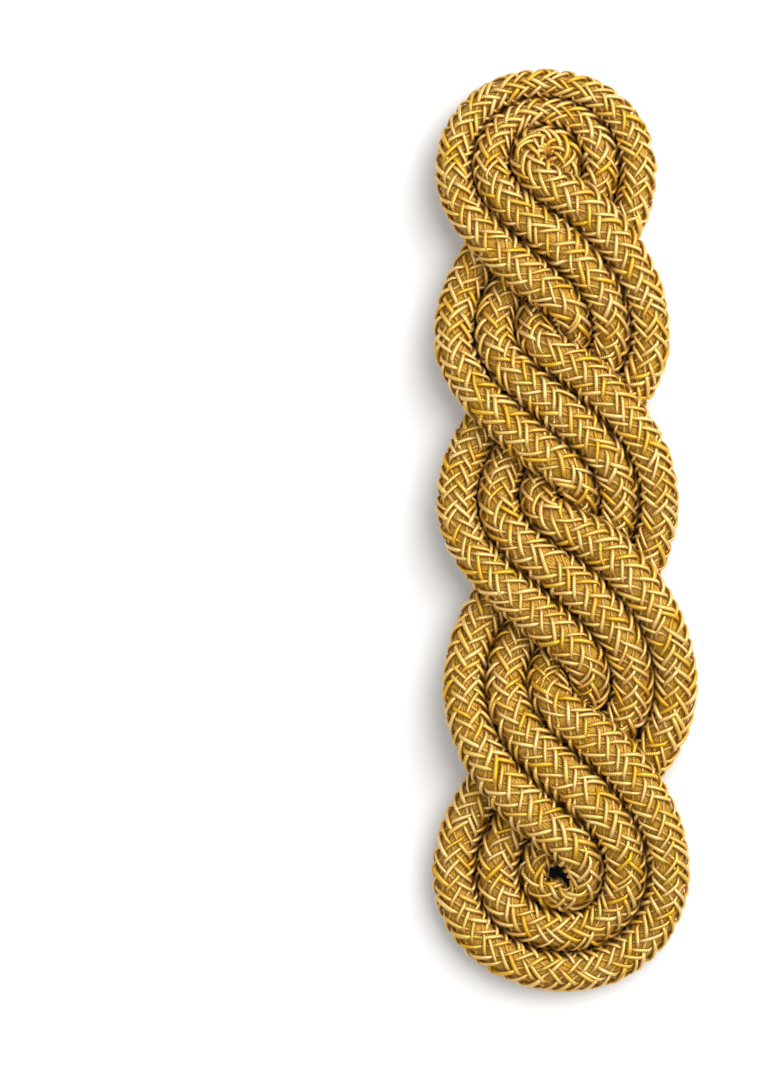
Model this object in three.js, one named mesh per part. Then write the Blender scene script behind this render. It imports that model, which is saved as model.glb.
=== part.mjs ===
// A shoulder knot: three plaited gold cords laid side by side as one flat band, and the band
// looped and twisted on itself like a two-strand rope, sewn to a dark cloth backing.
// It lies flat on its backing, +Z up, with its collar end towards +Y. All sizes in millimetres.
import * as THREE from "three";

// Driving dimensions
const KNOT_LENGTH = 140;
const KNOT_WIDTH = 38.8;
const CORD_HEIGHT = 4.8;
const CORD_GAP = 0.54;
const LAYER_GAP = 0.44;
const CROSSING_DEGREES = 42;
const CLOTH_THICKNESS = 1.6;
const CLOTH_INSET = 2;

// How finely the shapes are drawn
const CORD_SIDES = 12;
const STEPS_PER_SPAN = 7;
const CLOTH_STEPS_PER_CURVE = 7;

// The cords of the band, from the side that is outside in the two end loops
const CORDS = ["cord_outer", "cord_middle", "cord_inner"];

// The knot from its collar end down. y, x and half are the place along the length, the place of the
// axis across and the knot's own half width there, as shares of the length and the width.
// At a waist the two runs of the band cross, and at a loop or a lobe they lie side by side. There
// the outside of the band is furthest out at y, and its inside turns round the point innerX, innerY.
const SECTIONS = [
  { form: "loop", y: 0.886, x: -0.072, half: 0.429, innerY: 0.909, innerX: -0.072 },
  { form: "waist", y: 0.814, x: -0.039, half: 0.38 },
  { form: "lobe", y: 0.709, x: -0.053, half: 0.454, innerY: 0.723, innerX: -0.04 },
  { form: "waist", y: 0.632, x: -0.031, half: 0.378 },
  { form: "lobe", y: 0.528, x: -0.031, half: 0.468, innerY: 0.538, innerX: -0.016 },
  { form: "waist", y: 0.444, x: 0.025, half: 0.405 },
  { form: "lobe", y: 0.329, x: 0.022, half: 0.492, innerY: 0.339, innerX: 0.014 },
  { form: "waist", y: 0.233, x: 0.002, half: 0.418 },
  { form: "loop", y: 0.129, x: -0.014, half: 0.497, innerY: 0.129, innerX: -0.014 },
];

// Where the band turns back at its two ends, and how wide it is there, as shares of the width. On
// the inside of a tight turn a cord is squeezed to this share of the turn's own radius, which leaves
// the eye at the collar end almost closed and the one at the far end open.
const COLLAR_END = { x: -0.08, bandWidth: 0.329, squeeze: 0.88 };
const FAR_END = { x: 0.01, bandWidth: 0.47, squeeze: 0.4 };

// Heights of a cord's middle where it lies on the cloth and where it rides over the other run
const LOW = CLOTH_THICKNESS + LAYER_GAP + CORD_HEIGHT / 2;
const HIGH = LOW + CORD_HEIGHT + LAYER_GAP;

// A cord starts to climb this share of the band's half width outside the run that it crosses, for
// each share of the half width that it lies away from the corner between the two runs.
const CLIMB_BY_DISTANCE = 0.9;
const CLIMB_AT_CORNER = 1 / CORDS.length;

// The cords keep their narrow width beside a lobe and spread towards the waist, later with more power
const SPREAD_POWER = 1.5;

// Handles of the backing's Bezier curves: of a quarter of an ellipse, as a share of its axes, and of
// a swing between a waist and a lobe, as a share of the way along between them
const QUARTER_HANDLE = 0.552;
const SWING_HANDLE = 0.5;

const DOWN = new THREE.Vector2(0, -1);

function alongLength(share) {
  return (share - 0.5) * KNOT_LENGTH;
}

// One run of the band from the collar end to the far end, as stations on its centreline. It starts
// on the left with side -1 or on the right with side 1, and changes sides at each waist. At a waist
// the run that comes down to the right rides over the other one.
function runDown(side) {
  let now = side;
  return SECTIONS.map((section) => {
    const half = section.half * KNOT_WIDTH + CORD_GAP / 2;
    const axis = section.x * KNOT_WIDTH;
    const y = alongLength(section.y);
    if (section.form === "waist") {
      now = -now;
      const slope = THREE.MathUtils.degToRad(CROSSING_DEGREES);
      const heading = new THREE.Vector2(now * Math.cos(slope), -Math.sin(slope));
      return { place: new THREE.Vector2(axis, y), heading, half: half * Math.sin(slope), level: now };
    }
    const place = new THREE.Vector2(axis + now * half / 2, y);
    const inner = new THREE.Vector2(section.innerX * KNOT_WIDTH, alongLength(section.innerY));
    const innerShift = inner.sub(new THREE.Vector2(axis, y));
    return { place, heading: DOWN.clone(), half: half / 2, outside: now, innerShift };
  });
}

function reversed(run) {
  return run.map((station) => ({ ...station, heading: station.heading.clone().negate() })).reverse();
}

function endStation(end, side) {
  const bandHalf = end.bandWidth * KNOT_WIDTH / 2;
  const y = side * (KNOT_LENGTH / 2 - bandHalf + CORD_GAP / 2);
  return {
    place: new THREE.Vector2(end.x * KNOT_WIDTH, y),
    heading: new THREE.Vector2(-side, 0),
    half: bandHalf,
    level: -1,
  };
}

// The whole band as one closed round of stations
const BAND = [
  endStation(COLLAR_END, 1),
  ...runDown(-1),
  endStation(FAR_END, -1),
  ...reversed(runDown(1)),
];

// A smooth span between two stations, which leaves each of them along its heading
function spanCurve(from, to) {
  const chord = from.place.distanceTo(to.place);
  const turn = Math.acos(THREE.MathUtils.clamp(from.heading.dot(to.heading), -1, 1));
  const handle = chord * (1 + turn ** 2 / 12) / 3;
  return new THREE.CubicBezierCurve(
    from.place,
    from.place.clone().addScaledVector(from.heading, handle),
    to.place.clone().addScaledVector(to.heading, -handle),
    to.place,
  );
}

// The stations of one cord. share says where it lies across the band, from -1 on the outside of the
// two end loops to 1 on the inside.
function cordStations(share) {
  return BAND.map((station) => {
    const normal = new THREE.Vector2(-station.heading.y, station.heading.x);
    const place = station.place.clone().addScaledVector(normal, share * station.half);
    if (station.outside === undefined) {
      return { ...station, place };
    }
    const outward = share * normal.x * station.outside;
    place.addScaledVector(station.innerShift, (1 - outward) / 2);
    return { ...station, place, outward };
  });
}

// The plan of one cord: its points with their half widths, a set number of them to each span
function cordPlan(stations) {
  return stations.flatMap((from, index) => {
    const to = stations[(index + 1) % stations.length];
    const places = spanCurve(from, to).getPoints(STEPS_PER_SPAN).slice(0, -1);
    const [apart, other] = from.outside === undefined ? [to, from] : [from, to];
    return places.map((place, step) => {
      const fromApart = (from === apart ? step : STEPS_PER_SPAN - step) / STEPS_PER_SPAN;
      const spread = THREE.MathUtils.smoothstep(fromApart, 0, 1) ** SPREAD_POWER;
      const bandHalf = THREE.MathUtils.lerp(apart.half, other.half, spread);
      return { place, half: bandHalf / CORDS.length - CORD_GAP / 2 };
    });
  });
}

// Distances along the cord from one plan point to the next ones, forward with stride 1, back with -1
function distancesFrom(plan, start, count, stride) {
  const distances = [0];
  for (let step = 1; step <= count; step += 1) {
    const last = plan[(start + (step - 1) * stride + plan.length) % plan.length];
    const next = plan[(start + step * stride + plan.length) % plan.length];
    distances.push(distances[step - 1] + last.place.distanceTo(next.place));
  }
  return distances;
}

// Adds each plan point's height. Between two waists the cord changes its level beside the lobe: in
// a short steep run where it lies inside, and in a long gentle one where it lies outside.
function addHeights(plan, stations) {
  const middle = (LOW + HIGH) / 2;
  const rise = (HIGH - LOW) / 2;
  stations.forEach((station, index) => {
    if (station.outside === undefined) {
      return;
    }
    const before = stations[(index - 1 + stations.length) % stations.length].level;
    const after = stations[(index + 1) % stations.length].level;
    const climb = station.half * (CLIMB_BY_DISTANCE * (1 + station.outward) + CLIMB_AT_CORNER);
    [-1, 1].forEach((stride) => {
      const start = index * STEPS_PER_SPAN;
      distancesFrom(plan, start, STEPS_PER_SPAN, stride).forEach((distance, step) => {
        const part = stride * Math.sin(Math.PI / 2 * Math.min(distance / climb, 1));
        const level = (before + after) / 2 + (after - before) / 2 * part;
        plan[(start + step * stride + plan.length) % plan.length].z = middle + rise * level;
      });
    });
  });
}

// A closed cord: an oval section carried round the plan, squeezed on the inside of a tight turn
function cordGeometry(bandShare) {
  const stations = cordStations(bandShare);
  const plan = cordPlan(stations);
  addHeights(plan, stations);
  const points = plan.map(({ place, z }) => new THREE.Vector3(place.x, place.y, z));
  const positions = [];
  points.forEach((point, index) => {
    const last = points[(index - 1 + points.length) % points.length];
    const next = points[(index + 1) % points.length];
    const along = next.clone().sub(last).normalize();
    const across = new THREE.Vector3(-along.y, along.x, 0).normalize();
    const up = along.clone().cross(across);
    const into = new THREE.Vector2(point.x - last.x, point.y - last.y);
    const out = new THREE.Vector2(next.x - point.x, next.y - point.y);
    const turn = Math.atan2(into.cross(out), into.dot(out));
    const radius = (into.length() + out.length()) / 2 / Math.max(Math.abs(turn), 1e-6);
    const lengthShare = point.y / KNOT_LENGTH + 0.5;
    const squeeze = THREE.MathUtils.lerp(FAR_END.squeeze, COLLAR_END.squeeze, lengthShare);
    const squeezed = Math.min(plan[index].half, squeeze * radius);
    for (let side = 0; side < CORD_SIDES; side += 1) {
      const angle = 2 * Math.PI * side / CORD_SIDES;
      const isInside = Math.cos(angle) * turn > 0;
      const reach = isInside ? squeezed : plan[index].half;
      const corner = point.clone()
        .addScaledVector(across, Math.cos(angle) * reach)
        .addScaledVector(up, Math.sin(angle) * CORD_HEIGHT / 2);
      positions.push(corner.x, corner.y, corner.z);
    }
  });
  return closedSkin(positions, points.length);
}

// The skin over a closed round of rings of corners, with its faces outward
function closedSkin(positions, rings) {
  const triangles = [];
  for (let ring = 0; ring < rings; ring += 1) {
    const nextRing = (ring + 1) % rings;
    for (let side = 0; side < CORD_SIDES; side += 1) {
      const nextSide = (side + 1) % CORD_SIDES;
      const a = ring * CORD_SIDES + side;
      const b = ring * CORD_SIDES + nextSide;
      const c = nextRing * CORD_SIDES + nextSide;
      const d = nextRing * CORD_SIDES + side;
      triangles.push(a, c, d, a, b, c);
    }
  }
  const geometry = new THREE.BufferGeometry();
  geometry.setAttribute("position", new THREE.Float32BufferAttribute(positions, 3));
  geometry.setIndex(triangles);
  geometry.computeVertexNormals();
  return geometry;
}

// The backing's outline swings in and out with the knot's own, a little inside the cords
function backingGeometry() {
  const edge = (side) => SECTIONS.map((section) => {
    const x = section.x * KNOT_WIDTH + side * (section.half * KNOT_WIDTH - CLOTH_INSET);
    return new THREE.Vector2(x, alongLength(section.y));
  });
  const collar = new THREE.Vector2(COLLAR_END.x * KNOT_WIDTH, KNOT_LENGTH / 2 - CLOTH_INSET);
  const far = new THREE.Vector2(FAR_END.x * KNOT_WIDTH, -KNOT_LENGTH / 2 + CLOTH_INSET);
  const left = edge(-1);
  const right = edge(1).reverse();
  const shape = new THREE.Shape();

  const swing = (points) => {
    for (let index = 1; index < points.length; index += 1) {
      const from = points[index - 1];
      const to = points[index];
      const handle = (to.y - from.y) * SWING_HANDLE;
      shape.bezierCurveTo(from.x, from.y + handle, to.x, to.y - handle, to.x, to.y);
    }
  };
  const turnInto = (from, end) => {
    const handleY = from.y + (end.y - from.y) * QUARTER_HANDLE;
    const handleX = end.x + (from.x - end.x) * QUARTER_HANDLE;
    shape.bezierCurveTo(from.x, handleY, handleX, end.y, end.x, end.y);
  };
  const turnOut = (end, to) => {
    const handleX = end.x + (to.x - end.x) * QUARTER_HANDLE;
    const handleY = to.y + (end.y - to.y) * QUARTER_HANDLE;
    shape.bezierCurveTo(handleX, end.y, to.x, handleY, to.x, to.y);
  };

  shape.moveTo(left[0].x, left[0].y);
  swing(left);
  turnInto(left[left.length - 1], far);
  turnOut(far, right[0]);
  swing(right);
  turnInto(right[right.length - 1], collar);
  turnOut(collar, left[0]);
  return new THREE.ExtrudeGeometry(shape, {
    depth: CLOTH_THICKNESS,
    bevelEnabled: false,
    curveSegments: CLOTH_STEPS_PER_CURVE,
  });
}

const gold = new THREE.MeshStandardMaterial({ color: 0xcf9f45, roughness: 0.42, metalness: 0.75 });
const darkCloth = new THREE.MeshStandardMaterial({ color: 0x12141c, roughness: 0.95, metalness: 0 });

const knot = new THREE.Group();

CORDS.forEach((name, index) => {
  const share = (2 * index + 1) / CORDS.length - 1;
  const cord = new THREE.Mesh(cordGeometry(share), gold);
  cord.name = name;
  knot.add(cord);
});

const backing = new THREE.Mesh(backingGeometry(), darkCloth);
backing.name = "backing";
knot.add(backing);

export default knot;
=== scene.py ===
# %% [markdown]
# A plaited gold shoulder knot
#
# A dress uniform carries a knot like this on each shoulder. Three round cords lie side by side as one
# flat band. The band is laid in a long closed loop whose two runs cross four times, and the whole is sewn
# to a dark cloth. Each cord is itself a plait: sixteen strands of gilt gimp, woven over and under each
# other round a core of yarn.
#
# The CAD model already has each cord as a smooth tube, in its right place. Here the same route is
# worked out again, more finely, and the plait is woven round it strand by strand.

import math
import random
from dataclasses import dataclass, replace

import bpy
import numpy as np
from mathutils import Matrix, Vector
from mathutils.geometry import interpolate_bezier


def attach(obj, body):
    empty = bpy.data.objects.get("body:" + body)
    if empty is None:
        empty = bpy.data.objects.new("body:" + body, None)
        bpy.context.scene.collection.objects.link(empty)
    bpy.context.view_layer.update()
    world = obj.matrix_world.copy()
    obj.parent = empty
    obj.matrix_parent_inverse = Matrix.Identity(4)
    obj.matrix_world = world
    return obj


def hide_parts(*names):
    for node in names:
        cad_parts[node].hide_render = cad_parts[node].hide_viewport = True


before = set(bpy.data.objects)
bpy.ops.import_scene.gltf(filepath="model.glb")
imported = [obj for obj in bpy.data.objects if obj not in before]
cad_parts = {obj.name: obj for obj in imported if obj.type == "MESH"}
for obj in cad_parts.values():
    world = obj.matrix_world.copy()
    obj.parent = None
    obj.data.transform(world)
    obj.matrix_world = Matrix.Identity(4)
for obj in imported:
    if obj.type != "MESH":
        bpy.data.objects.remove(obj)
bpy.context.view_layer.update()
print("CAD nodes:", sorted(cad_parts))

# %% [markdown]
# The camera
#
# The photograph looks straight down on the knot, which lies in the right half of the picture. So the
# camera stands a little to the left of the knot and looks straight down too. A long lens from 0.8 m away
# shows the cords without much perspective, as in the photograph.

# %% Camera
PHOTO_PIXELS = (777, 1080)
PHOTO_KNOT_CENTRE = (564.5, 530.5)
PHOTO_HEIGHT_AT_CORDS = 0.1642
CORDS_MIDDLE_HEIGHT = 0.006
CAMERA_DISTANCE = 0.8
SENSOR_MILLIMETRES = 36
NEAREST_SEEN = 0.01

metres_per_pixel = PHOTO_HEIGHT_AT_CORDS / PHOTO_PIXELS[1]
camera_x = (PHOTO_PIXELS[0] / 2 - PHOTO_KNOT_CENTRE[0]) * metres_per_pixel
camera_y = (PHOTO_KNOT_CENTRE[1] - PHOTO_PIXELS[1] / 2) * metres_per_pixel
bpy.ops.object.select_all(action="DESELECT")
bpy.ops.object.camera_add(
    location=(camera_x, camera_y, CORDS_MIDDLE_HEIGHT + CAMERA_DISTANCE), rotation=(0, 0, 0)
)
camera = bpy.context.object
camera.name = "camera"
camera.data.sensor_width = SENSOR_MILLIMETRES
camera.data.lens = SENSOR_MILLIMETRES * CAMERA_DISTANCE / PHOTO_HEIGHT_AT_CORDS
camera.data.clip_start = NEAREST_SEEN
bpy.context.scene.camera = camera
print("camera at", [round(value, 4) for value in camera.location], "lens", round(camera.data.lens, 1))

# %% [markdown]
# The knot's sizes
#
# These are the same sizes as in the CAD source, in metres. A table gives the knot from its collar end
# down: where the two runs of the band cross, which is a waist, and where they lie side by side, which
# is a lobe or an end loop. Its numbers are shares of the knot's length and width.

# %% Sizes and the route's table
KNOT_LENGTH = 0.140
KNOT_WIDTH = 0.0388
CORD_HEIGHT = 0.0048
CORD_GAP = 0.00054
LAYER_GAP = 0.00044
CROSSING_ANGLE = math.radians(42)
CLOTH_THICKNESS = 0.0016
CLOTH_INSET = 0.002
CORDS = ["outer", "middle", "inner"]

SECTIONS = [
    {"form": "loop", "y": 0.886, "x": -0.072, "half": 0.429, "inner_y": 0.909, "inner_x": -0.072},
    {"form": "waist", "y": 0.814, "x": -0.039, "half": 0.38},
    {"form": "lobe", "y": 0.709, "x": -0.053, "half": 0.454, "inner_y": 0.723, "inner_x": -0.04},
    {"form": "waist", "y": 0.632, "x": -0.031, "half": 0.378},
    {"form": "lobe", "y": 0.528, "x": -0.031, "half": 0.468, "inner_y": 0.538, "inner_x": -0.016},
    {"form": "waist", "y": 0.444, "x": 0.025, "half": 0.405},
    {"form": "lobe", "y": 0.329, "x": 0.022, "half": 0.492, "inner_y": 0.339, "inner_x": 0.014},
    {"form": "waist", "y": 0.233, "x": 0.002, "half": 0.418},
    {"form": "loop", "y": 0.129, "x": -0.014, "half": 0.497, "inner_y": 0.129, "inner_x": -0.014},
]
COLLAR_END = {"x": -0.08, "band_width": 0.329, "squeeze": 0.88}
FAR_END = {"x": 0.01, "band_width": 0.47, "squeeze": 0.4}

LOW = CLOTH_THICKNESS + LAYER_GAP + CORD_HEIGHT / 2
HIGH = LOW + CORD_HEIGHT + LAYER_GAP
print("the cords' middles lie", round(LOW, 5), "m up below a crossing and", round(HIGH, 5), "m on top of it")

# %% [markdown]
# The band's way through the knot
#
# The band is followed once round, from the collar end down one run and back up the other. A station is
# a place where its way is known: where the middle of the band is, where it heads, and how wide it is.
# At a waist the run that comes down to the right rides over the other one.


# %% Stations of the band
@dataclass
class Station:
    """A place on the band's way. level is 1 above the other run and -1 below it. outside is the side
    of the knot's axis that a run beside it lies on, and inner_shift moves the inside of its turn."""

    place: Vector
    heading: Vector
    half: float
    level: int = 0
    outside: int = 0
    inner_shift: Vector = None
    outward: float = 0


def along_length(share):
    return (share - 0.5) * KNOT_LENGTH


def run_down(side):
    """One run of the band from the collar end to the far end. It changes sides at each waist."""
    stations = []
    now = side
    for section in SECTIONS:
        half = section["half"] * KNOT_WIDTH + CORD_GAP / 2
        axis = section["x"] * KNOT_WIDTH
        y = along_length(section["y"])
        if section["form"] == "waist":
            now = -now
            heading = Vector((now * math.cos(CROSSING_ANGLE), -math.sin(CROSSING_ANGLE)))
            stations.append(Station(Vector((axis, y)), heading, half * math.sin(CROSSING_ANGLE), now))
        else:
            inner = Vector((section["inner_x"] * KNOT_WIDTH, along_length(section["inner_y"])))
            stations.append(Station(
                Vector((axis + now * half / 2, y)), Vector((0, -1)), half / 2,
                outside=now, inner_shift=inner - Vector((axis, y)),
            ))
    return stations


def run_up(side):
    return [replace(station, heading=-station.heading) for station in reversed(run_down(side))]


def end_station(end, side):
    band_half = end["band_width"] * KNOT_WIDTH / 2
    y = side * (KNOT_LENGTH / 2 - band_half + CORD_GAP / 2)
    return Station(Vector((end["x"] * KNOT_WIDTH, y)), Vector((-side, 0)), band_half, -1)


band = [end_station(COLLAR_END, 1)] + run_down(-1) + [end_station(FAR_END, -1)] + run_up(1)
print("the band has", len(band), "stations")

# %% [markdown]
# Three cords in the band
#
# Each cord gets stations of its own, moved across the band, and smooth Bezier spans between them. The
# height comes last: beside a lobe a cord changes from below to above, and it does so over a short way
# on the inside of the turn and over a long way on the outside.

# %% Close points down one cord
SPAN_STEPS = 60
# A climb is as long as these shares of the band's half width. The first counts double on the outside.
CLIMB_BY_DISTANCE = 0.9
CLIMB_AT_CORNER = 1 / len(CORDS)
SPREAD_POWER = 1.5


def cord_stations(share):
    """The band's stations for one cord. share is -1 on the outside of the end loops, 1 on the inside."""
    stations = []
    for station in band:
        normal = Vector((-station.heading.y, station.heading.x))
        place = station.place + normal * share * station.half
        outward = share * normal.x * station.outside
        if station.outside:
            place += station.inner_shift * (1 - outward) / 2
        stations.append(replace(station, place=place, outward=outward))
    return stations


def smooth_step(share):
    return share * share * (3 - 2 * share)


def span_points(start, end):
    """Points of a smooth span between two stations, which leaves each along its heading. A handle is a
    third of the chord and a little more in a turn, as the handles of a good arc are."""
    chord = (end.place - start.place).length
    turn = start.heading.angle(end.heading)
    handle = chord * (1 + turn ** 2 / 12) / 3
    return interpolate_bezier(
        start.place.to_3d(), (start.place + start.heading * handle).to_3d(),
        (end.place - end.heading * handle).to_3d(), end.place.to_3d(), SPAN_STEPS + 1,
    )


def close_points(share):
    """Close points down one cord, each with its half width as a fourth number."""
    stations = cord_stations(share)
    rows = []
    for index, start in enumerate(stations):
        end = stations[(index + 1) % len(stations)]
        starts_apart = start.outside != 0
        apart, crossing = (start, end) if starts_apart else (end, start)
        opposite = stations[index - 1] if starts_apart else stations[(index + 2) % len(stations)]
        climb = apart.half * (CLIMB_BY_DISTANCE * (1 + apart.outward) + CLIMB_AT_CORNER)
        points = span_points(start, end)
        walked = np.cumsum([0] + [(b - a).length for a, b in zip(points, points[1:])])
        for step in range(SPAN_STEPS):
            distance = walked[step] if starts_apart else walked[-1] - walked[step]
            share_apart = step / SPAN_STEPS if starts_apart else 1 - step / SPAN_STEPS
            spread = smooth_step(share_apart) ** SPREAD_POWER
            half = apart.half + (crossing.half - apart.half) * spread
            part = math.sin(math.pi / 2 * min(distance / climb, 1))
            level = (crossing.level + opposite.level) / 2 + (crossing.level - opposite.level) / 2 * part
            height = (LOW + HIGH) / 2 + (HIGH - LOW) / 2 * level
            rows.append((points[step].x, points[step].y, height, half / len(CORDS) - CORD_GAP / 2))
    return np.array(rows)


# Each cord's share of the way across the band, from the outside of the end loops to the inside.
cord_shares = {name: (2 * number + 1) / len(CORDS) - 1 for number, name in enumerate(CORDS)}
cord_points = {name: close_points(share) for name, share in cord_shares.items()}
print("each cord has", len(cord_points["outer"]), "close points")

# %% [markdown]
# Even steps along a cord
#
# A plait has the same pitch all along its cord, so the route is measured off in even steps. At each step
# the direction across the cord and the direction up out of it are worked out. On the inside of a tight
# turn the cord is squeezed narrower, so that it never reaches past the middle of the turn.

# %% Route of one cord
ROUTE_STEP = 0.00035
SMOOTHING = 0.0015
# The plait stands this much proud of the smooth CAD cord at each side.
SIDE_SPREAD = 0.0004
# A bend is one over its radius in metres, and none counts as slighter than this.
SLIGHTEST_BEND = 1.0


def rolling_mean(values, reach):
    """Each value of a closed row averaged with its neighbours, reach of them on each side."""
    return sum(np.roll(values, shift, axis=0) for shift in range(-reach, reach + 1)) / (2 * reach + 1)


@dataclass
class Route:
    """One cord's way in even steps: its middle, the directions across it to the left and up, and how
    far it reaches to its left and to its right."""

    middle: np.ndarray
    across: np.ndarray
    up: np.ndarray
    left: np.ndarray
    right: np.ndarray
    length: float


def even_steps(rows):
    """The same points in even steps, and the length of the way round them."""
    steps = np.linalg.norm(np.roll(rows[:, :3], -1, axis=0) - rows[:, :3], axis=1)
    walked = np.concatenate([[0], np.cumsum(steps)[:-1]])
    length = steps.sum()
    count = round(length / ROUTE_STEP)
    places = np.arange(count) * length / count
    return np.column_stack([np.interp(places, walked, column, period=length) for column in rows.T]), length


def even_route(rows):
    even, length = even_steps(rows)
    count = len(even)
    reach = round(SMOOTHING / ROUTE_STEP)
    middle = rolling_mean(even[:, :3], reach // 2)
    along = np.roll(middle, -1, axis=0) - np.roll(middle, 1, axis=0)
    along /= np.linalg.norm(along, axis=1)[:, None]
    across = np.column_stack([-along[:, 1], along[:, 0], np.zeros(count)])
    across /= np.linalg.norm(across, axis=1)[:, None]
    up = np.cross(along, across)
    facing = np.unwrap(np.arctan2(along[:, 1], along[:, 0]))
    change = (np.roll(facing, -1) - facing + math.pi) % (2 * math.pi) - math.pi
    bend = rolling_mean(change * count / length, reach)
    length_share = middle[:, 1] / KNOT_LENGTH + 0.5
    squeeze = FAR_END["squeeze"] + (COLLAR_END["squeeze"] - FAR_END["squeeze"]) * length_share
    tightest = squeeze / np.maximum(np.abs(bend), SLIGHTEST_BEND)
    half = rolling_mean(even[:, 3], reach) + SIDE_SPREAD
    left = np.where(bend > 0, np.minimum(half, tightest), half)
    right = np.where(bend < 0, np.minimum(half, tightest), half)
    return Route(middle, across, up, left, right, length)


routes = {name: even_route(rows) for name, rows in cord_points.items()}
for name, route in routes.items():
    print(name, "cord is", round(route.length, 4), "m long in", len(route.middle), "steps")

# %% [markdown]
# Shader maths
#
# A material is a net of small nodes, and sums made of nodes are hard to read. The class below wraps one
# output of a node. Adding or multiplying two of them adds the Math node that does it, so that a sum reads
# as plain Python. All other nodes come from one method too.


# %% A wire between shader nodes
class Wire:
    """One output of a shader node, so that sums of them read as plain Python."""

    def __init__(self, socket):
        self.socket = socket

    @staticmethod
    def from_node(tree, kind, settings=None, inputs=None, output=0):
        """Adds a node. Its settings are made first, then its inputs are given values or wires."""
        node = tree.nodes.new(kind)
        for name, value in (settings or {}).items():
            setattr(node, name, value)
        for name, value in (inputs or {}).items():
            if isinstance(value, Wire):
                value.plug_into(node.inputs[name])
            else:
                node.inputs[name].default_value = value
        return Wire(node.outputs[output])

    def plug_into(self, target):
        target.id_data.links.new(self.socket, target)

    def maths(self, operation, *values):
        tree = self.socket.id_data
        return Wire.from_node(tree, "ShaderNodeMath", {"operation": operation}, dict(enumerate(values)))

    def __add__(self, other):
        return self.maths("ADD", self, other)

    def __radd__(self, other):
        return self.maths("ADD", other, self)

    def __sub__(self, other):
        return self.maths("SUBTRACT", self, other)

    def __rsub__(self, other):
        return self.maths("SUBTRACT", other, self)

    def __mul__(self, other):
        return self.maths("MULTIPLY", self, other)

    def __rmul__(self, other):
        return self.maths("MULTIPLY", other, self)

    def __pow__(self, other):
        return self.maths("POWER", self, other)

    def __abs__(self):
        return self.maths("ABSOLUTE", self)

    def sine(self):
        return self.maths("SINE", self)

    def whole_part(self):
        return self.maths("FLOOR", self)


print("a Wire adds, subtracts, multiplies, and gives powers, sizes, sines and whole parts")

# %% [markdown]
# Helpers for the finishes
#
# The finishes below share a few steps: a piece's own UV map says how far along a strand and how far round
# it a point is, noise on Object coordinates makes patches, and two colours are mixed by a share.

# %% Steps that the materials share
# A Mix node has a socket of each name for each kind of data, so its colour sockets go by number.
MIX_SHARE = 0
MIX_FIRST_COLOUR = 6
MIX_SECOND_COLOUR = 7
MIX_RESULT_COLOUR = 2


def new_material(name, roughness, metallic=0.0):
    """A material with one Principled shader, its nodes' tree and that shader's node."""
    material = bpy.data.materials.new(name)
    material.use_nodes = True
    shader = material.node_tree.nodes["Principled BSDF"]
    shader.inputs["Roughness"].default_value = roughness
    shader.inputs["Metallic"].default_value = metallic
    return material, material.node_tree, shader


def blend_colours(tree, share, first, second):
    inputs = {MIX_SHARE: share, MIX_FIRST_COLOUR: first, MIX_SECOND_COLOUR: second}
    return Wire.from_node(tree, "ShaderNodeMix", {"data_type": "RGBA"}, inputs, MIX_RESULT_COLOUR)


def stretch(tree, value, low, high):
    """The value moved so that low gives 0 and high gives 1."""
    return Wire.from_node(
        tree, "ShaderNodeMapRange", {}, {"Value": value, "From Min": low, "From Max": high},
    )


def fade_in(tree, value, start, full, most):
    """A share that grows smoothly from 0, where the value is start, to most, where it is full."""
    return Wire.from_node(
        tree, "ShaderNodeMapRange", {"interpolation_type": "SMOOTHSTEP"},
        {"Value": value, "From Min": start, "From Max": full, "To Max": most},
    )


def kept_value(tree, name):
    """A number that the mesh keeps for each of its points."""
    return Wire.from_node(tree, "ShaderNodeAttribute", {"attribute_name": name}, output="Fac")


def along_and_around(tree):
    """How far along its piece and how far round it a point is, from the piece's own UV map."""
    uv = Wire.from_node(tree, "ShaderNodeUVMap", {"uv_map": "UVMap"})
    return [Wire.from_node(tree, "ShaderNodeSeparateXYZ", {}, {0: uv}, part) for part in "XY"]


def noise(tree, scale, detail=2.0):
    place = Wire.from_node(tree, "ShaderNodeTexCoord", output="Object")
    return Wire.from_node(
        tree, "ShaderNodeTexNoise", {}, {"Vector": place, "Scale": scale, "Detail": detail},
    )


def raise_surface(tree, shader, height, depth, strength):
    """A bump of that depth in metres where the height is 1."""
    bump = Wire.from_node(
        tree, "ShaderNodeBump", {}, {"Strength": strength, "Distance": depth, "Height": height},
    )
    bump.plug_into(shader.inputs["Normal"])


print("a colour mix reads its sockets", MIX_SHARE, MIX_FIRST_COLOUR, "and", MIX_SECOND_COLOUR)

# %% [markdown]
# The length of a strand
#
# A strand winds round its cord once in each pitch of the plait, so it is longer than the cord. The wire
# on it is wound a whole number of times, and for that the length of the strand has to be known.

# %% Length of a strand
PLAIT_PITCH = 0.0164
SMOOTH_CORD_WIDTH = 0.0058
WAY_ROUND_SHARE = 0.85


def turns_of_plait(route):
    return round(route.length / PLAIT_PITCH)


def length_of_strand(route):
    """About how long one strand is. It lies a little inside the cord, so its way round is shorter."""
    round_once = math.pi * (CORD_HEIGHT + SMOOTH_CORD_WIDTH) / 2 * WAY_ROUND_SHARE
    return math.hypot(route.length, turns_of_plait(route) * round_once)


for name, route in routes.items():
    print("a strand of the", name, "cord is", round(length_of_strand(route), 3), "m long")

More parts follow.
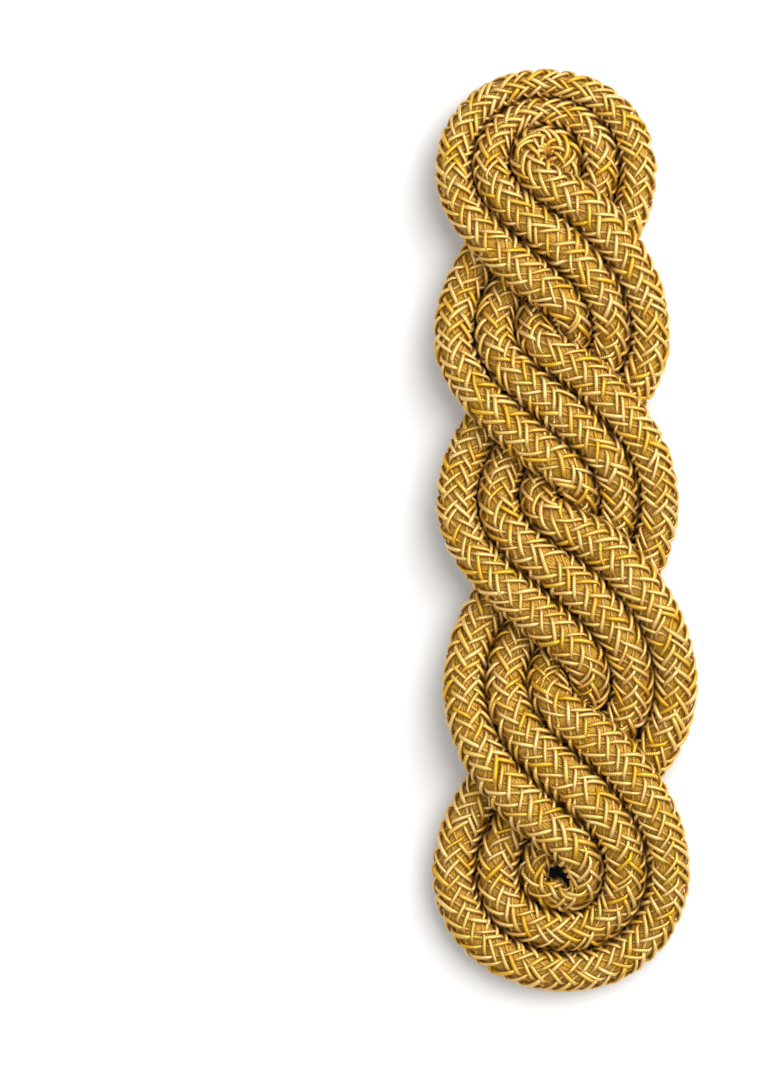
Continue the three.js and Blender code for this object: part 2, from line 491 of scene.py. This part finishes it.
# %% [markdown]
# Gilt gimp
#
# A strand of gimp is yarn with fine gilt wire wound round it, so it glints in small beads. Wire of a
# quarter of a millimetre would make millions of faces if it were modelled, so it is a bump, with shade
# painted into the grooves between its turns. The winding follows the strand, so it reads the strand's own
# UV map: its first number runs along the strand and its second runs round it. One strand is a little
# redder or paler than the next, as real gilding is. Shade is painted into the gilt's colour where a strand
# dives under other strands, on a strand's flanks and in the crevices between cords.

# %% Gilt gimp material
WINDING_PITCH = 0.00026
WINDING_DEPTH = 0.00004
WINDING_STRENGTH = 0.8
GILT_METALLIC = 0.7
GILT_ROUGHNESS = 0.43
GROOVE_ROUGHNESS = 0.3
GILT_PALE = (0.94, 0.66, 0.25, 1)
GILT_DEEP = (0.78, 0.45, 0.03, 1)
GILT_PATCH_SCALE = 260.0
GILT_PATCH_SHARE = 0.7
GILT_OWN_SHARE = 0.3
GILT_MIXTURE_RANGE = (0.3, 0.7)
# Painted shade: the gilt is browner where a strand dives under other strands.
GILT_UNDER_PAINTED_SHADE = {"colour": (0.36, 0.16, 0.004, 1), "start": -0.55, "full": -1.0, "most": 0.5}
# Painted shade on a strand's flanks and underside, which face away from the outside of the cord.
GILT_FLANK_PAINTED_SHADE = {"colour": (0.25, 0.095, 0.0, 1), "start": 0.75, "full": 0.0, "most": 0.85}
# Painted shade in the crevices between cords and where one cord rides over another.
CREVICE_PAINTED_SHADE = {"colour": (0.06, 0.02, 0.0, 1), "start": 1.25, "full": 0.95, "most": 0.85}
# Painted shade in the grooves between the turns of the wire.
GILT_GROOVE_PAINTED_SHADE = (0.22, 0.09, 0.0, 1)
GROOVE_SHADE_SHARE = 0.6
GROOVE_SHARPNESS = 3


def paint_shade(tree, colour, name, shadow):
    """Shade painted over the colour, where the value that the mesh keeps under that name says so."""
    share = fade_in(tree, kept_value(tree, name), shadow["start"], shadow["full"], shadow["most"])
    return blend_colours(tree, share, colour, shadow["colour"])


def gilt_gimp(name, strand_length):
    """Gilt wire wound on a strand of that length."""
    material, tree, shader = new_material(name, GILT_ROUGHNESS, GILT_METALLIC)
    along, around = along_and_around(tree)
    windings = round(strand_length / WINDING_PITCH)
    bead = abs(((along * windings + around) * math.pi).sine())
    own = Wire.from_node(
        tree, "ShaderNodeTexWhiteNoise", {"noise_dimensions": "1D"}, {"W": along.whole_part()},
    )
    mixture = noise(tree, GILT_PATCH_SCALE) * GILT_PATCH_SHARE + own * GILT_OWN_SHARE
    colour = blend_colours(tree, stretch(tree, mixture, *GILT_MIXTURE_RANGE), GILT_DEEP, GILT_PALE)
    # Painted shade where strands dive under, on their flanks and in the crevices between cords.
    colour = paint_shade(tree, colour, "lift", GILT_UNDER_PAINTED_SHADE)
    colour = paint_shade(tree, colour, "crest", GILT_FLANK_PAINTED_SHADE)
    colour = paint_shade(tree, colour, "next_cord", CREVICE_PAINTED_SHADE)
    # The groove darkens the colour as painted shade, and roughens the surface there.
    groove = (1 - bead) ** GROOVE_SHARPNESS
    colour = blend_colours(tree, groove * GROOVE_SHADE_SHARE, colour, GILT_GROOVE_PAINTED_SHADE)
    colour.plug_into(shader.inputs["Base Color"])
    (GILT_ROUGHNESS + groove * GROOVE_ROUGHNESS).plug_into(shader.inputs["Roughness"])
    raise_surface(tree, shader, bead, WINDING_DEPTH, WINDING_STRENGTH)
    return material


gimps = {}
for name, route in routes.items():
    gimps[name] = gilt_gimp(name + "_gilt_gimp", length_of_strand(route))
    print(gimps[name].name, "has", round(length_of_strand(route) / WINDING_PITCH), "windings a strand")

# %% [markdown]
# Core yarn
#
# Between the strands the core shows, in dull olive gold. It is a bundle of yarn that the plait holds
# together, so fine ribs run along it, with shade painted between them, and it is mottled where the light
# catches single threads. Shade is also painted into it in the crevices between cords.

# %% Core yarn material
YARN_ROUGHNESS = 0.6
YARN_METALLIC = 0.3
YARN_SPECULAR = 0.2
YARN_LIGHT = (0.61, 0.35, 0.042, 1)
YARN_DARK = (0.19, 0.08, 0.002, 1)
YARN_RIBS = 34
YARN_TWIST_PITCH = 0.006
YARN_RIB_DEPTH = 0.00006
YARN_RIB_STRENGTH = 0.45
YARN_MOTTLE_SCALE = 1700.0
YARN_MOTTLE_SHARE = 0.75
YARN_RIB_SHADE_SHARE = 0.25
YARN_MIXTURE_RANGE = (0.25, 0.75)


def core_yarn(name, length):
    """Yarn for a core of that length."""
    material, tree, shader = new_material(name, YARN_ROUGHNESS, YARN_METALLIC)
    shader.inputs["Specular IOR Level"].default_value = YARN_SPECULAR
    along, around = along_and_around(tree)
    twists = round(length / YARN_TWIST_PITCH)
    rib = abs(((around * YARN_RIBS + along * twists) * math.pi).sine())
    # The ribs' share paints shade between the ribs, and the mottle paints where the light catches threads.
    mixture = rib * YARN_RIB_SHADE_SHARE + noise(tree, YARN_MOTTLE_SCALE) * YARN_MOTTLE_SHARE
    colour = blend_colours(tree, stretch(tree, mixture, *YARN_MIXTURE_RANGE), YARN_DARK, YARN_LIGHT)
    # Painted shade in the crevices between cords, as on the gilt.
    paint_shade(tree, colour, "next_cord", CREVICE_PAINTED_SHADE).plug_into(shader.inputs["Base Color"])
    raise_surface(tree, shader, rib, YARN_RIB_DEPTH, YARN_RIB_STRENGTH)
    return material


yarns = {name: core_yarn(name + "_core_yarn", route.length) for name, route in routes.items()}
print("made", ", ".join(yarn.name for yarn in yarns.values()))

# %% [markdown]
# The shape across a cord
#
# The sewing flattens the cords a little, so a cord is an oval across, with full sides. A strand winds
# round it evenly, so the way round the oval is measured off along its edge. Where a cord is squeezed on
# one side, that half of the oval is narrower.

# %% Oval across a cord
STRAND_RADIUS = 0.00035
WEAVE_DEPTH = 0.00036
# The plait stands this much proud of the smooth CAD cord above and below.
TOP_SPREAD = 0.0002
LEAST_REACH = 0.0003
# A power of 2 makes an ellipse, and a higher one makes its sides fuller. The aspect is width to height.
OVAL_POWER = 2.05
OVAL_ASPECT = 1.5
OVAL_STEPS = 720

strand_inset = STRAND_RADIUS + WEAVE_DEPTH


def even_oval():
    """A unit oval with full sides, as shares of the way round it and x and y there. The shares are even
    along its edge, so that a strand that winds evenly lies straight on the top."""
    angle = np.linspace(0, 2 * math.pi, OVAL_STEPS + 1)
    swell = (np.abs(np.cos(angle)) ** OVAL_POWER + np.abs(np.sin(angle)) ** OVAL_POWER) ** (-1 / OVAL_POWER)
    x = swell * np.cos(angle)
    y = swell * np.sin(angle)
    steps = np.hypot(np.diff(x) * OVAL_ASPECT, np.diff(y))
    shares = np.concatenate([[0], np.cumsum(steps)]) / steps.sum()
    return shares, x, y


oval_shares, oval_x, oval_y = even_oval()


def points_round(route, way_round, inset, top_inset=0.0):
    """A point of the cord's oval at each step of its route. way_round is 0 to the left, 0.25 on top."""
    way_round = np.broadcast_to(way_round, len(route.middle)) % 1
    x = np.interp(way_round, oval_shares, oval_x)
    y = np.interp(way_round, oval_shares, oval_y)
    side = np.where(x > 0, route.left, route.right)
    sideways = np.maximum(side - inset, LEAST_REACH) * x
    upward = (CORD_HEIGHT / 2 + TOP_SPREAD - inset - top_inset) * y
    return route.middle + route.across * sideways[:, None] + route.up * upward[:, None]


for name, route in routes.items():
    widths = (route.left + route.right) * 1000
    least, usual, most = np.percentile(widths, (0, 50, 100)).round(2)
    print(name, "cord is", least, "to", most, "mm wide, and mostly about", usual)

# %% [markdown]
# Painted shade in the crevices
#
# How deep a point lies between two cords, or where one rides over another, is told by its distance from
# the middle of the nearest other stretch of cord. Each piece keeps that distance as an attribute of its
# points, and its material paints shade by it.

# %% How near the next cord is
OWN_STRETCH = 0.007
MARK_EVERY = 4
FAR_AWAY = 1.0

marks = {name: route.middle[::MARK_EVERY] for name, route in routes.items()}


def distance_to_next_cord(name, points):
    """How far each point, one for each step of that cord's route, is from the middle of the nearest
    other stretch of cord, in half widths of the cord. Its own stretch beside the point isn't counted."""
    route = routes[name]
    count = len(route.middle)
    nearest = np.full(count, FAR_AWAY)
    for other, places in marks.items():
        distances = np.linalg.norm(points[:, None, :] - places[None, :, :], axis=2)
        if other == name:
            steps_apart = np.abs(np.arange(count)[:, None] - np.arange(len(places))[None, :] * MARK_EVERY)
            steps_apart = np.minimum(steps_apart, count - steps_apart)
            distances[steps_apart * route.length / count < OWN_STRETCH] = FAR_AWAY
        nearest = np.minimum(nearest, distances.min(axis=1))
    return nearest / np.maximum(route.left, route.right)


for name, route in routes.items():
    sides = distance_to_next_cord(name, route.middle)
    print(name, "cord's middle is", round(sides.min(), 2), "half widths from the next one at the nearest")

# %% [markdown]
# The core of each cord
#
# The core is an oval tube along the route, set in a little below the middle of the weave. A curve with a
# bevel would do for a round cord, but this one's width changes all the way along and isn't the same on
# its two sides. So its mesh is made from rings of points, one ring after another.

# %% Tube from rings
CORE_SIDES = 24
CORE_EVERY = 2


def closed_tube(name, rings):
    """A mesh through a closed row of rings, with a UV map that runs along it and round it."""
    count, sides, _ = rings.shape
    corners = rings.reshape(-1, 3)
    faces = []
    uvs = []
    for ring in range(count):
        following = (ring + 1) % count
        for side in range(sides):
            beside = (side + 1) % sides
            faces.append((
                ring * sides + side, ring * sides + beside,
                following * sides + beside, following * sides + side,
            ))
            for step, turn in ((0, 0), (0, 1), (1, 1), (1, 0)):
                uvs.append(((ring + step) / count, (side + turn) / sides))
    mesh = bpy.data.meshes.new(name)
    mesh.from_pydata(corners.tolist(), [], faces)
    layer = mesh.uv_layers.new(name="UVMap")
    layer.data.foreach_set("uv", np.array(uvs, dtype=np.float32).ravel())
    piece = bpy.data.objects.new(name, mesh)
    bpy.context.scene.collection.objects.link(piece)
    return piece


def keep_attribute(piece, name, values):
    attribute = piece.data.attributes.new(name, "FLOAT", "POINT")
    attribute.data.foreach_set("value", values.astype(np.float32))


def make_active(piece):
    bpy.ops.object.select_all(action="DESELECT")
    piece.select_set(True)
    bpy.context.view_layer.objects.active = piece


def count_triangles(piece):
    return sum(len(face.vertices) - 2 for face in piece.data.polygons)


print("the longest core gets", len(routes["outer"].middle) // CORE_EVERY, "rings of", CORE_SIDES, "corners")

# %% Make the cores
CORE_TOP_INSET = 0.00016
CORE_BELOW_WEAVE = 0.0001

core_inset = strand_inset + CORE_BELOW_WEAVE

for name, route in routes.items():
    ways_round = [side / CORE_SIDES for side in range(CORE_SIDES)]
    rows = [points_round(route, way_round, core_inset, CORE_TOP_INSET) for way_round in ways_round]
    nears = [distance_to_next_cord(name, row) for row in rows]
    core = closed_tube(name + "_cord_core", np.stack(rows, axis=1)[::CORE_EVERY])
    keep_attribute(core, "next_cord", np.stack(nears, axis=1)[::CORE_EVERY].ravel())
    core.data.materials.append(yarns[name])
    make_active(core)
    bpy.ops.object.shade_smooth()
    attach(core, "root")
    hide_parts("cord_" + name)
    print(core.name, "has", count_triangles(core), "triangles")

# %% [markdown]
# The plait
#
# Eight strands wind round the core one way and eight the other way. Each goes over two strands and
# then under two, which draws the rows of V shapes that run along the cord. Over or under depends only
# on the angle round the cord, so a strand's depth is a cosine of four times that angle, and the two
# directions have opposite signs. The cosine is made squarer, because a strand stays on top until it
# dives, and is on top for a little longer than it is below.
#
# Hand work is never even, so each strand gets a little wander of its own and a thickness of its own, and
# the whole plait rolls slowly from side to side. Each of these is a sum of a few slow waves, and a fixed
# seed makes them the same on every run.

# %% Slow waves
WAVES = 5
WANDER = {"amount": 0.15, "most_cycles": 45}
THICKNESS_WANDER = {"amount": 0.07, "most_cycles": 60}
PLAIT_ROLL = {"amount": 0.03, "most_cycles": 12}
THINNEST_STRAND = 0.82
THICKEST_STRAND = 1.12

random.seed(7)


def slow_waves(count, amount, most_cycles):
    """A smooth wander along a closed cord: a few sine waves, each with a whole number of cycles."""
    angles = np.arange(count) / count * 2 * math.pi
    total = np.zeros(count)
    for _ in range(WAVES):
        cycles = random.randint(1, most_cycles)
        total += math.sqrt(2 / WAVES) * np.sin(angles * cycles + random.uniform(0, 2 * math.pi))
    return total * amount


print("a strand wanders by", WANDER["amount"], "of the space between strands")

# %% [markdown]
# Strands as curves
#
# A strand is round, so here a curve with a bevel does well: eight closed splines make the strands that
# wind one way, and each point has a radius of its own. For the material, three things are kept about
# each point: how high it lies in the plait, how near the next cord is, and which way is outwards there.

# %% Weave the strands of one cord
STRANDS_EACH_WAY = 8
UNDER_AND_OVER_TURNS = STRANDS_EACH_WAY // 2
STRAND_BEVEL_STEPS = 2
FLOAT_SQUARENESS = 3.2
FLOAT_EXTRA = 0.22


@dataclass
class Depths:
    """What a material needs to know of each point of the strands. lift is 1 on top of the plait and -1
    at its bottom, near is the distance to the next cord, and outward is the direction out of the cord."""

    lift: np.ndarray
    near: np.ndarray
    outward: np.ndarray


def strand_way(route, strand, way):
    """How far round the cord that strand is at each step of the route. way is 1 or -1."""
    count = len(route.middle)
    winding = np.arange(count) / count * turns_of_plait(route) * way
    return (strand + slow_waves(count, **WANDER)) / STRANDS_EACH_WAY + winding


def strand_lift(way_round, way):
    """How high the strand lies: a cosine with squared shoulders, four times over and under in a turn."""
    column = 2 * math.pi * (UNDER_AND_OVER_TURNS * way_round - 1 / STRANDS_EACH_WAY)
    return np.tanh(FLOAT_SQUARENESS * (way * np.cos(column) + FLOAT_EXTRA))


def weave(name, cord, way, roll):
    """The eight strands of a cord that wind one way, as one curve, and the depths of their points."""
    route = routes[cord]
    count = len(route.middle)
    curve = bpy.data.curves.new(name, "CURVE")
    curve.dimensions = "3D"
    curve.bevel_depth = STRAND_RADIUS
    curve.bevel_resolution = STRAND_BEVEL_STEPS
    lifts = []
    nears = []
    outwards = []
    for strand in range(STRANDS_EACH_WAY):
        way_round = strand_way(route, strand, way)
        lift = strand_lift(way_round, way)
        points = points_round(route, way_round + roll, strand_inset - WEAVE_DEPTH * lift)
        deeper = points_round(route, way_round + roll, strand_inset + WEAVE_DEPTH)
        outward = points_round(route, way_round + roll, strand_inset - 2 * WEAVE_DEPTH) - deeper
        lifts.append(lift)
        nears.append(distance_to_next_cord(cord, points))
        outwards.append(outward / np.linalg.norm(outward, axis=1)[:, None])
        thickness = random.uniform(THINNEST_STRAND, THICKEST_STRAND) + slow_waves(count, **THICKNESS_WANDER)
        spline = curve.splines.new("POLY")
        spline.points.add(count - 1)
        spline.points.foreach_set("co", np.column_stack([points, np.ones(count)]).ravel())
        spline.points.foreach_set("radius", thickness)
        spline.use_cyclic_u = True
    piece = bpy.data.objects.new(name, curve)
    bpy.context.scene.collection.objects.link(piece)
    return piece, Depths(np.concatenate(lifts), np.concatenate(nears), np.concatenate(outwards))


print("a plait has", 2 * STRANDS_EACH_WAY, "strands and turns once in", PLAIT_PITCH, "m")

# %% [markdown]
# Strands as meshes
#
# The curves are made meshes, because only a mesh can keep attributes and be exported. Every point of a
# strand has become a ring of corners, so each corner is given its point's depths. A corner also keeps how
# far it faces out of the cord, which tells the crest of a strand from its flanks.

# %% Finish the strands
UV_JUST_SHORT_OF_ONE = 0.999999


def keep_depths(piece, depths):
    """Gives each corner of the strands the depths of the point that it was drawn round, and its crest:
    1 where it faces out of the cord, 0 at the strand's sides, -1 where it touches the core."""
    corners = np.zeros(len(piece.data.vertices) * 3)
    piece.data.vertices.foreach_get("co", corners)
    rings = corners.reshape(len(depths.lift), -1, 3)
    offsets = rings - rings.mean(axis=1, keepdims=True)
    offsets /= np.linalg.norm(offsets, axis=2, keepdims=True)
    crests = (offsets * depths.outward[:, None, :]).sum(axis=2)
    keep_attribute(piece, "lift", np.repeat(depths.lift, rings.shape[1]))
    keep_attribute(piece, "next_cord", np.repeat(depths.near, rings.shape[1]))
    keep_attribute(piece, "crest", crests.ravel())


def number_strands(piece):
    """Moves each strand's UVs along by one, so that a material can tell the strands apart."""
    layer = piece.data.uv_layers["UVMap"].data
    uvs = np.zeros(len(layer) * 2, dtype=np.float32)
    layer.foreach_get("uv", uvs)
    numbers = np.repeat(np.arange(STRANDS_EACH_WAY), len(layer) // STRANDS_EACH_WAY)
    uvs[0::2] = uvs[0::2] * UV_JUST_SHORT_OF_ONE + numbers
    layer.foreach_set("uv", uvs)


for name, route in routes.items():
    roll = slow_waves(len(route.middle), **PLAIT_ROLL)
    for way, label in ((1, "left_laid"), (-1, "right_laid")):
        strands, depths = weave(name + "_cord_" + label + "_strands", name, way, roll)
        make_active(strands)
        bpy.ops.object.convert(target="MESH")
        strands = bpy.context.object
        keep_depths(strands, depths)
        number_strands(strands)
        bpy.ops.object.shade_smooth()
        strands.data.materials.clear()
        strands.data.materials.append(gimps[name])
        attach(strands, "root")
        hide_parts("cord_" + name)
        print(strands.name, "has", count_triangles(strands), "triangles")

# %% [markdown]
# The cloth's finish
#
# The knot is sewn to a dark felted cloth. Felted wool has no weave to see, only fine fibres that catch
# the light, so the finish is a fine noise with larger clouds in it, and a soft sheen.

# %% Navy cloth material
CLOTH_DARK = (0.006, 0.007, 0.013, 1)
CLOTH_LIGHT = (0.022, 0.025, 0.040, 1)
CLOTH_ROUGHNESS = 0.95
CLOTH_SHEEN = 0.25
CLOTH_SHEEN_ROUGHNESS = 0.6
FIBRE_SCALE = 3200.0
FIBRE_DETAIL = 3.0
FIBRE_SHARE = 0.7
FIBRE_DEPTH = 0.00015
FIBRE_STRENGTH = 0.6
CLOUD_SCALE = 260.0
CLOUD_SHARE = 0.3


def navy_cloth():
    material, tree, shader = new_material("navy_wool_cloth", CLOTH_ROUGHNESS)
    shader.inputs["Sheen Weight"].default_value = CLOTH_SHEEN
    shader.inputs["Sheen Roughness"].default_value = CLOTH_SHEEN_ROUGHNESS
    fuzz = noise(tree, FIBRE_SCALE, FIBRE_DETAIL) * FIBRE_SHARE + noise(tree, CLOUD_SCALE) * CLOUD_SHARE
    blend_colours(tree, fuzz, CLOTH_DARK, CLOTH_LIGHT).plug_into(shader.inputs["Base Color"])
    raise_surface(tree, shader, fuzz, FIBRE_DEPTH, FIBRE_STRENGTH)
    return material


wool = navy_cloth()
print("made", wool.name)

# %% [markdown]
# The cloth's outline
#
# The cloth is cut a little inside the cords, so that it hardly shows from above. Its outline is a row of
# Bezier curves, the same as in the CAD model: each side swings in and out from section to section, and
# each end is two quarters of an ellipse.

# %% Cloth outline
QUARTER_HANDLE = 0.552
SWING_HANDLE = 0.5
OUTLINE_STEPS = 12


def cloth_edge(side):
    """The cloth's edge at each section of the knot, on the right with side 1 or the left with -1."""
    return [
        Vector((
            section["x"] * KNOT_WIDTH + side * (section["half"] * KNOT_WIDTH - CLOTH_INSET),
            along_length(section["y"]),
        ))
        for section in SECTIONS
    ]


def bezier(start, first, second, end):
    curve = interpolate_bezier(start.to_3d(), first.to_3d(), second.to_3d(), end.to_3d(), OUTLINE_STEPS + 1)
    return curve[:-1]


def swing(edge):
    """Curves down or up one side, in and out from section to section."""
    points = []
    for start, end in zip(edge, edge[1:]):
        handle = Vector((0, (end.y - start.y) * SWING_HANDLE))
        points += bezier(start, start + handle, end - handle, end)
    return points


def round_end(start, tip, end):
    """Two quarters of an ellipse, from one side round the tip to the other side."""
    into = bezier(
        start, Vector((start.x, start.y + (tip.y - start.y) * QUARTER_HANDLE)),
        Vector((tip.x + (start.x - tip.x) * QUARTER_HANDLE, tip.y)), tip,
    )
    out = bezier(
        tip, Vector((tip.x + (end.x - tip.x) * QUARTER_HANDLE, tip.y)),
        Vector((end.x, end.y + (tip.y - end.y) * QUARTER_HANDLE)), end,
    )
    return into + out


collar_tip = Vector((COLLAR_END["x"] * KNOT_WIDTH, KNOT_LENGTH / 2 - CLOTH_INSET))
far_tip = Vector((FAR_END["x"] * KNOT_WIDTH, -KNOT_LENGTH / 2 + CLOTH_INSET))
left_edge = cloth_edge(-1)
right_edge = cloth_edge(1)[::-1]
outline = (
    swing(left_edge) + round_end(left_edge[-1], far_tip, right_edge[0])
    + swing(right_edge) + round_end(right_edge[-1], collar_tip, left_edge[0])
)
print("the cloth's outline has", len(outline), "points")

# %% [markdown]
# The cloth backing
#
# The cloth lies flat under the sewn cords, so a cloth simulation would change nothing. The outline is
# drawn as one flat face and extruded to the cloth's thickness. A cut edge of felt isn't sharp, so a bevel
# rounds it. The cloth's flat size is the size of its outline.

# %% Cut and round the cloth
EDGE_ROUNDING = 0.0005
EDGE_ROUNDING_STEPS = 3
EDGE_ANGLE = math.radians(50)
SMOOTH_ANGLE = math.radians(40)

bpy.ops.object.select_all(action="DESELECT")
mesh = bpy.data.meshes.new("cloth_backing")
mesh.from_pydata(outline, [], [tuple(range(len(outline)))])
cloth = bpy.data.objects.new("cloth_backing", mesh)
bpy.context.scene.collection.objects.link(cloth)
make_active(cloth)
bpy.ops.object.mode_set(mode="EDIT")
bpy.ops.mesh.select_all(action="SELECT")
bpy.ops.mesh.extrude_region_move(TRANSFORM_OT_translate={"value": (0, 0, CLOTH_THICKNESS)})
bpy.ops.mesh.select_all(action="SELECT")
bpy.ops.mesh.normals_make_consistent(inside=False)
bpy.ops.object.mode_set(mode="OBJECT")
bevel = cloth.modifiers.new("rounded_edge", "BEVEL")
bevel.width = EDGE_ROUNDING
bevel.segments = EDGE_ROUNDING_STEPS
bevel.limit_method = "ANGLE"
bevel.angle_limit = EDGE_ANGLE
bpy.ops.object.modifier_apply(modifier=bevel.name)
bpy.ops.object.shade_smooth_by_angle(angle=SMOOTH_ANGLE)
cloth.data.materials.append(wool)
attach(cloth, "root")
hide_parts("backing")
cloth_area = sum(
    a.x * b.y - b.x * a.y for a, b in zip(outline, outline[1:] + outline[:1])
) / 2
print("its area is", round(abs(cloth_area), 6), "square metres")

# %% [markdown]
# Floor and light
#
# The photograph has a white ground and soft light from the upper right: the right-hand edges of the
# knot glow and a soft shadow lies on its left. A large soft lamp on that side gives both, and a small one
# on the other side and a pale sky fill the rest.

# %% Floor
FLOOR_SIZE = 4
FLOOR_ROUGHNESS = 0.9
FLOOR_COLOUR = (0.83, 0.83, 0.84, 1)

bpy.ops.object.select_all(action="DESELECT")
bpy.ops.mesh.primitive_plane_add(size=FLOOR_SIZE, location=(0, 0, 0))
floor = bpy.context.object
floor.name = "floor"
floor_paint, _, floor_shader = new_material("white_ground", FLOOR_ROUGHNESS)
floor_shader.inputs["Base Color"].default_value = FLOOR_COLOUR
floor.data.materials.append(floor_paint)
print("the floor is", FLOOR_SIZE, "m wide")

# %% Lights
SKY_COLOUR = (1.0, 0.98, 0.94, 1)
SKY_STRENGTH = 0.36
SOFTBOXES = [
    {
        "name": "key_softbox", "place": (0.34, 0.25, 0.62), "size": 0.8, "watts": 9.4,
        "colour": (1.0, 0.985, 0.965),
    },
    {
        "name": "fill_softbox", "place": (-0.3, -0.1, 0.7), "size": 0.5, "watts": 1.6,
        "colour": (0.96, 0.98, 1.0),
    },
]

world = bpy.data.worlds.new("studio")
world.use_nodes = True
world.node_tree.nodes["Background"].inputs["Color"].default_value = SKY_COLOUR
world.node_tree.nodes["Background"].inputs["Strength"].default_value = SKY_STRENGTH
bpy.context.scene.world = world
bpy.context.scene.view_settings.view_transform = "Standard"

for softbox in SOFTBOXES:
    bpy.ops.object.select_all(action="DESELECT")
    bpy.ops.object.light_add(type="AREA", location=softbox["place"])
    lamp = bpy.context.object
    lamp.name = softbox["name"]
    lamp.rotation_euler = (-Vector(softbox["place"])).to_track_quat("-Z", "Y").to_euler()
    lamp.data.size = softbox["size"]
    lamp.data.energy = softbox["watts"]
    lamp.data.color = softbox["colour"]
    print(lamp.name, "gives", softbox["watts"], "W from", softbox["place"])
